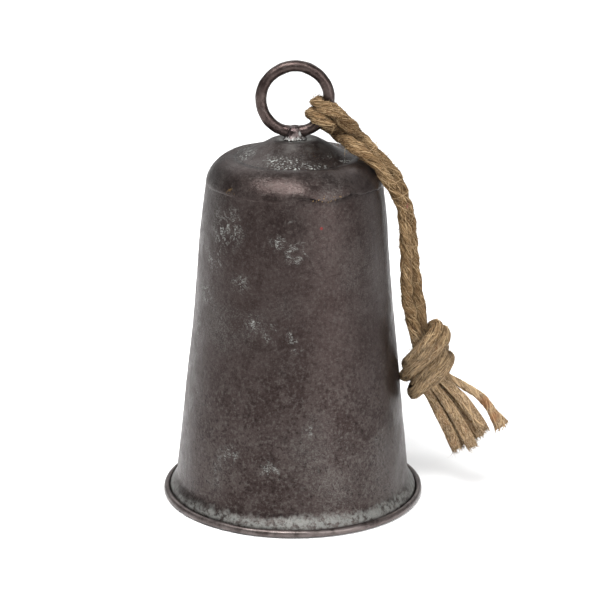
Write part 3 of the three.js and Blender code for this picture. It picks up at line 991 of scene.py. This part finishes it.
# Linear colours of the sheet, of what lies on it, and of the painted shade in the lap and the
# crease and the painted highlight on the bead.
SHEET_DARK, SHEET_BROWN = (0.029, 0.0195, 0.0180), (0.042, 0.031, 0.029)
WORN, RUBBED, PITTED = (0.066, 0.052, 0.048), (0.096, 0.086, 0.079), (0.0095, 0.0062, 0.0060)
GRAIN, LAP_SHADE_DARK, CREASE_SHADE = (0.105, 0.092, 0.084), (0.006, 0.004, 0.004), (0.008, 0.006, 0.006)
BEAD_HIGHLIGHT, OXIDE, BRAZE = (0.155, 0.130, 0.124), (0.30, 0.315, 0.295), (0.20, 0.125, 0.050)
RED, SCRATCH = (0.16, 0.02, 0.02), (0.010, 0.007, 0.007)
BRAZE_RIGHT, BRAZE_LEFT = (0.018, -0.046, 0.187), (-0.0365, -0.035, 0.1875)
BRAZE_BLOB, RED_SPECK = (-0.0365, -0.035, 0.1895), (0.0148, -0.049, 0.1715)


def crown_oxide(n, p, radius):
    """Grey rings on the crown, and a haze and a ring of oxide round the boss."""
    dots = n.ramp(n.noise(n.scaled(p, (1, 1, 1.6)), 800, 3, 0.6), 0.52, 0.64)
    inner = n.times(band(n, radius, 0.0225, 0.0335, 0.003), dots)
    inner = n.times(inner, n.ramp(n.noise(p, 75, 3), 0.36, 0.56))
    haze = n.times(n.ramp(n.noise(p, 90, 4), 0.45, 0.6), n.ramp(radius, 0.03, 0.01))
    top = n.times(n.ramp(radius, 0.0115, 0.0065), n.ramp(n.noise(p, 420, 4, 0.7), 0.36, 0.60))
    return (0.75, inner), (0.16, haze), (0.65, top)


def shell_material(name, crown):
    n = Nodes(name)
    p = n.object()
    x, y, z = n.split(p)[:3]
    radius = n.math("SQRT", n.plus(n.times(x, x), n.times(y, y)))
    cloud = n.noise(p, 28, 5, 0.62, 0.4)
    blotch = n.noise(p, 95, 6, 0.68, 0.5)
    speck = n.noise(p, 520, 5, 0.72)
    grain = n.noise(p, 1300, 3, 0.75)
    brush = n.noise(n.scaled(p, (420, 420, 1500)), 1.0, 4, 0.7, 0.3)
    worn = n.ramp(n.plus(z, n.times(cloud, 0.09)), 0.17, 0.08)
    colour = n.layers(
        n.mix(n.ramp(cloud, 0.38, 0.62), SHEET_DARK, SHEET_BROWN),
        (n.times(n.ramp(blotch, 0.47, 0.62), n.ramp(worn, 0, 1, 0.25, 0.65)), WORN),
        (n.times(n.ramp(speck, 0.51, 0.64), n.ramp(worn, 0, 1, 0.28, 0.6)), RUBBED),
        (n.times(n.ramp(speck, 0.47, 0.37), n.ramp(worn, 0, 1, 0.4, 0.8)), PITTED),
        (n.ramp(grain, 0.56, 0.70, 0, 0.4), GRAIN),
        # Painted shade: near-black where the lap under the shoulder stands open.
        (n.times(n.attribute("lap_shade", "Fac"), 0.92), LAP_SHADE_DARK))
    # Grey oxide: scuffs anywhere, a feathered band on the foot, rings on the crown.
    rubbed = n.ramp(n.noise(p, 150, 5, 0.7, 1.2), 0.47, 0.60)
    crumbs = n.ramp(n.noise(n.scaled(p, (1, 1, 1.5)), 800, 5, 0.8, 0.4), 0.47, 0.60)
    scuff = n.ramp(n.noise(p, 36, 4, 0.6, 0.8), 0.60, 0.72, 0, 0.6)
    for place, size in SCUFFS:
        scuff = n.larger(scuff, near_point(n, p, place, size, 0.15))
    scuff = n.times(n.times(scuff, rubbed), crumbs)
    veil = n.times(n.ramp(n.noise(p, 17, 3, 0.5), 0.50, 0.66), n.ramp(grain, 0.4, 0.65))
    feather = n.noise(n.scaled(p, (1, 1, 0.35)), 300, 5, 0.7, 0.6)
    reach = n.plus(n.times(n.noise(p, 45, 3), 0.012), 0.0045)
    low_edge = n.math("SUBTRACT", reach, z)
    foot = n.ramp(n.plus(n.times(low_edge, 95), feather), 0.42, 0.95)
    foot = n.times(foot, n.ramp(radius, 0.0718, 0.0708))
    foot = n.times(foot, n.ramp(n.noise(p, 300, 6, 0.76), 0.40, 0.56, 0.10, 0.9))
    oxide = n.larger(n.times(scuff, SCUFF_SHARE), n.times(foot, FOOT_SHARE))
    oxide = n.larger(oxide, n.times(veil, VEIL_SHARE))
    if crown:
        for share, spot in crown_oxide(n, p, radius):
            oxide = n.larger(oxide, n.times(spot, share))
        # Painted shade: a dark line along the crease on the crown.
        crease_shade = n.times(band(n, radius, 0.0326, 0.0336, 0.0007), n.ramp(z, 0.1965, 0.1975))
        colour = n.mix(n.times(crease_shade, 0.75), colour, CREASE_SHADE)
    # Painted highlight: the rim bead is lighter in colour, and it is also smoother.
    bead_highlight = n.times(n.ramp(radius, 0.0722, 0.0735), n.ramp(blotch, 0.38, 0.58, 0.2, 0.7))
    # Braze flecks, one red speck, and short dark scratches.
    brazed = n.larger(near_point(n, p, BRAZE_RIGHT, 0.012), near_point(n, p, BRAZE_LEFT, 0.006))
    fleck = n.times(n.times(band(n, z, 0.1855, 0.1885, 0.0009), brazed),
                    n.ramp(n.noise(p, 900, 2, 0.5), 0.62, 0.66))
    blob = n.times(near_point(n, p, BRAZE_BLOB, 0.0032), n.ramp(speck, 0.5, 0.6))
    scratch = n.cell_edges(n.scaled(p, (300, 300, 60), (1, 2, 3)))
    scratched = n.times(n.ramp(scratch, 0.03, 0.0), n.ramp(n.noise(p, 70, 2), 0.56, 0.64))
    colour = n.layers(
        colour, (bead_highlight, BEAD_HIGHLIGHT), (oxide, OXIDE), (n.larger(n.times(fleck, 0.8), blob), BRAZE),
        (n.times(near_point(n, p, RED_SPECK, 0.0011), 0.7), RED),
        (n.times(scratched, 0.45), SCRATCH))
    rough = n.blend(n.ramp(blotch, 0.38, 0.66), 0.33, 0.50)
    rough = n.blend(n.ramp(speck, 0.5, 0.7, 0, 0.5), rough, 0.66)
    rough = n.blend(bead_highlight, rough, 0.30)
    rough = n.blend(oxide, rough, 0.85)
    height = n.plus(n.times(speck, 0.5), n.times(brush, 0.5))
    near = n.bump(n.plus(height, n.times(oxide, 0.4)), 0.00022, 0.8)
    wide = n.bump(blotch, 0.0009, 0.4, near)
    return n.finish(colour, rough, n.blend(oxide, 0.9, 0.0), wide, Specular_IOR_Level=0.5)


def iron_material(name, dark, light, oxide_level, rough_low, rough_high):
    n = Nodes(name)
    p = n.object()
    cloud = n.noise(p, 120, 5, 0.65, 0.4)
    speck = n.noise(p, 900, 4, 0.7)
    streak = n.noise(n.scaled(p, (900, 900, 900)), 1.0, 3, 0.6, 1.2)
    oxide = n.ramp(n.noise(p, 260, 5, 0.7, 0.5), 0.60, 0.74, 0, oxide_level)
    colour = n.layers(
        n.mix(n.ramp(cloud, 0.35, 0.65), dark, light),
        (n.ramp(speck, 0.55, 0.75, 0, 0.5), tuple(min(1, c * 1.9) for c in light)),
        (n.ramp(speck, 0.45, 0.3, 0, 0.5), tuple(c * 0.45 for c in dark)),
        (oxide, (0.42, 0.43, 0.40)))
    rough = n.blend(oxide, n.blend(n.ramp(cloud, 0.3, 0.7), rough_low, rough_high), 0.85)
    height = n.plus(n.times(streak, 0.5), n.times(cloud, 0.8))
    return n.finish(colour, rough, n.blend(oxide, 0.9, 0.0), n.bump(height, 0.0003, 0.7))


def boss_material():
    n = Nodes("boss")
    p = n.object()
    z = n.split(p)[2]
    cloud = n.noise(p, 300, 4, 0.6, 0.3)
    skirt = n.times(n.ramp(z, 0.2125, 0.2100), n.ramp(n.noise(p, 700, 4), 0.4, 0.6))
    sliver = near_point(n, p, (0.0042, -0.0045, 0.2135), 0.0026)
    oxide = n.larger(n.times(skirt, 0.55), n.times(sliver, 0.5))
    metal = n.mix(n.ramp(cloud, 0.35, 0.65), (0.034, 0.023, 0.023), (0.085, 0.067, 0.064))
    colour = n.mix(oxide, metal, (0.46, 0.48, 0.46))
    rough = n.blend(oxide, n.ramp(cloud, 0.3, 0.7, 0.22, 0.42), 0.85)
    return n.finish(colour, rough, n.blend(oxide, 0.92, 0.0), n.bump(cloud, 0.0006, 0.8))


# How much of each jute colour's red, green and blue is kept.
JUTE_TINT = (0.84, 0.79, 0.72)
PINK_THREAD, RUST_PATCHES = (0.0642, -0.0075, 0.173), (
    ((0.1105, -0.006, 0.056), 0.006), ((0.1150, -0.006, 0.0475), 0.005))


def jute_material(name, shade, stray=False, tagged=False):
    """Jute; stray is for single fibres and tagged for strands whose fibres differ in colour."""
    n = Nodes(name)
    fibre = n.attribute("fibre")
    tag = n.split(fibre)[2]
    p = n.object()
    long = n.noise(n.scaled(fibre, (230, 1500, 50)), 1.0, 3, 0.6, 0.3)
    fine = n.noise(n.scaled(fibre, (520, 3400, 50), (3, 1, 7)), 1.0, 3, 0.65, 0.2)
    cross = n.noise(p, 900, 4, 0.7, 0.8)
    patch = n.noise(p, 110, 4, 0.6)

    def tone(*colour):
        return tuple(c * shade * tint for c, tint in zip(colour, JUTE_TINT))

    colour = n.layers(
        n.mix(n.ramp(long, 0.43, 0.57), tone(0.095, 0.054, 0.026), tone(0.345, 0.225, 0.120)),
        (n.ramp(fine, 0.53, 0.62, 0, 0.75), tone(0.53, 0.385, 0.225)),
        (n.ramp(fine, 0.48, 0.39, 0, 0.9), tone(0.050, 0.028, 0.013)),
        (n.ramp(cross, 0.60, 0.70, 0, 0.45), tone(0.48, 0.35, 0.21)),
        (n.ramp(patch, 0.54, 0.68, 0, 0.35), tone(0.17, 0.125, 0.065)),
        (n.ramp(patch, 0.44, 0.32, 0, 0.5), tone(0.31, 0.145, 0.060)))
    if stray:
        colour = n.mix(n.ramp(tag, 0.05, 0.55), tone(0.13, 0.075, 0.035), tone(0.40, 0.27, 0.145))
        colour = n.mix(n.ramp(tag, 0.55, 0.95), colour, tone(0.72, 0.55, 0.34))
    else:
        # Painted shade: the jute darkens down in the grooves between the strands.
        depth = n.attribute("depth", "Fac")
        colour = n.mix(n.ramp(depth, 0.6, 0.1, 0, 0.85), colour, tone(0.038, 0.021, 0.010))
    if tagged:
        colour = n.mix(n.ramp(tag, 0.45, 0.0, 0, 0.75), colour, tone(0.12, 0.07, 0.033))
        colour = n.mix(n.ramp(tag, 0.6, 1.0, 0, 0.6), colour, tone(0.60, 0.445, 0.265))
    # The knot and the strands are paler than the runs.
    pale = n.times(n.ramp(n.split(p)[2], 0.104, 0.090, 0, 0.75), n.ramp(fine, 0.50, 0.60))
    pink = n.times(near_point(n, p, PINK_THREAD, 0.0024), n.ramp(fine, 0.46, 0.54))
    rust = n.larger(*(near_point(n, p, place, size, 0.2) for place, size in RUST_PATCHES))
    colour = n.layers(
        colour, (pale, tone(0.74, 0.62, 0.46)), (n.times(pink, 0.8), (0.50, 0.12, 0.14)),
        (n.times(rust, n.ramp(fine, 0.42, 0.56, 0.1, 0.75)), (0.34, 0.135, 0.055)))
    height = n.plus(n.times(long, 0.7), n.times(fine, 0.5))
    return n.finish(colour, n.ramp(fine, 0.3, 0.7, 0.95, 0.78), 0.0, n.bump(height, 0.0009, 1.0),
                    Sheen_Weight=0.03, Sheen_Roughness=0.5, Specular_IOR_Level=0.08)


def floor_material():
    n = Nodes("floor")
    p = n.object()
    colour = n.mix(n.noise(p, 6, 3), (0.97, 0.97, 0.97), (0.98, 0.98, 0.98))
    return n.finish(colour, 0.8, 0.0, n.bump(n.noise(p, 900, 2), 0.0001, 0.1))


def paint(material, *objects):
    for o in objects:
        o.data.materials.clear()
        o.data.materials.append(material)


paint(shell_material("aged_sheet", False), wall)
paint(shell_material("aged_crown", True), cap)
paint(iron_material("ring_metal", (0.034, 0.023, 0.021), (0.074, 0.055, 0.050), 0.2, 0.28, 0.46),
      ring)
paint(boss_material(), stud)
paint(iron_material("dark_iron", (0.045, 0.038, 0.036), (0.088, 0.074, 0.068), 0.15, 0.45, 0.7),
      tenon, washer, nut, link, rod, eye, ball, end_nut)
paint(jute_material("jute_laid", 0.72), rope)
paint(jute_material("jute_loose", 1.25, tagged=True), *tails, loose)
paint(jute_material("jute_stray", 0.86, stray=True), fibres)

# ---------------- floor and light
REACH = 6000
floor = mesh("floor", [(-REACH, -REACH, 0), (REACH, -REACH, 0), (REACH, REACH, 0),
                       (-REACH, REACH, 0)], [(0, 1, 2, 3)], False)
paint(floor_material(), floor)

WORLD_STRENGTH = 0.395
world = bpy.data.worlds.new("studio")
world.use_nodes = True
background = world.node_tree.nodes["Background"]
background.inputs["Color"].default_value = (1, 1, 1, 1)
background.inputs["Strength"].default_value = WORLD_STRENGTH
scene.world = world

# Name, place, what it points at, width and height, and power.
SOFTBOXES = (
    ("left", (-1.4, -0.75, 0.6), (0, 0, 0.06), (0.6, 0.9), 1.4),
    ("right", (1.0, -1.15, 0.75), (0, 0, 0.12), (0.8, 1.3), 20),
    ("top", (-0.40, -0.72, 1.65), (0, 0, 0.15), (1.2, 0.6), 48),
    ("behind", (0, 2.6, 2.4), (0, 2.9, 0), (4.5, 2.6), 90),
)
for name, at, target, size, power in SOFTBOXES:
    light = bpy.data.lights.new(name, "AREA")
    light.shape = "RECTANGLE"
    light.size, light.size_y = size
    light.energy = power
    box = bpy.data.objects.new(name, light)
    scene.collection.objects.link(box)
    box.location = at
    box.rotation_euler = (Vector(target) - Vector(at)).to_track_quat("-Z", "Y").to_euler()
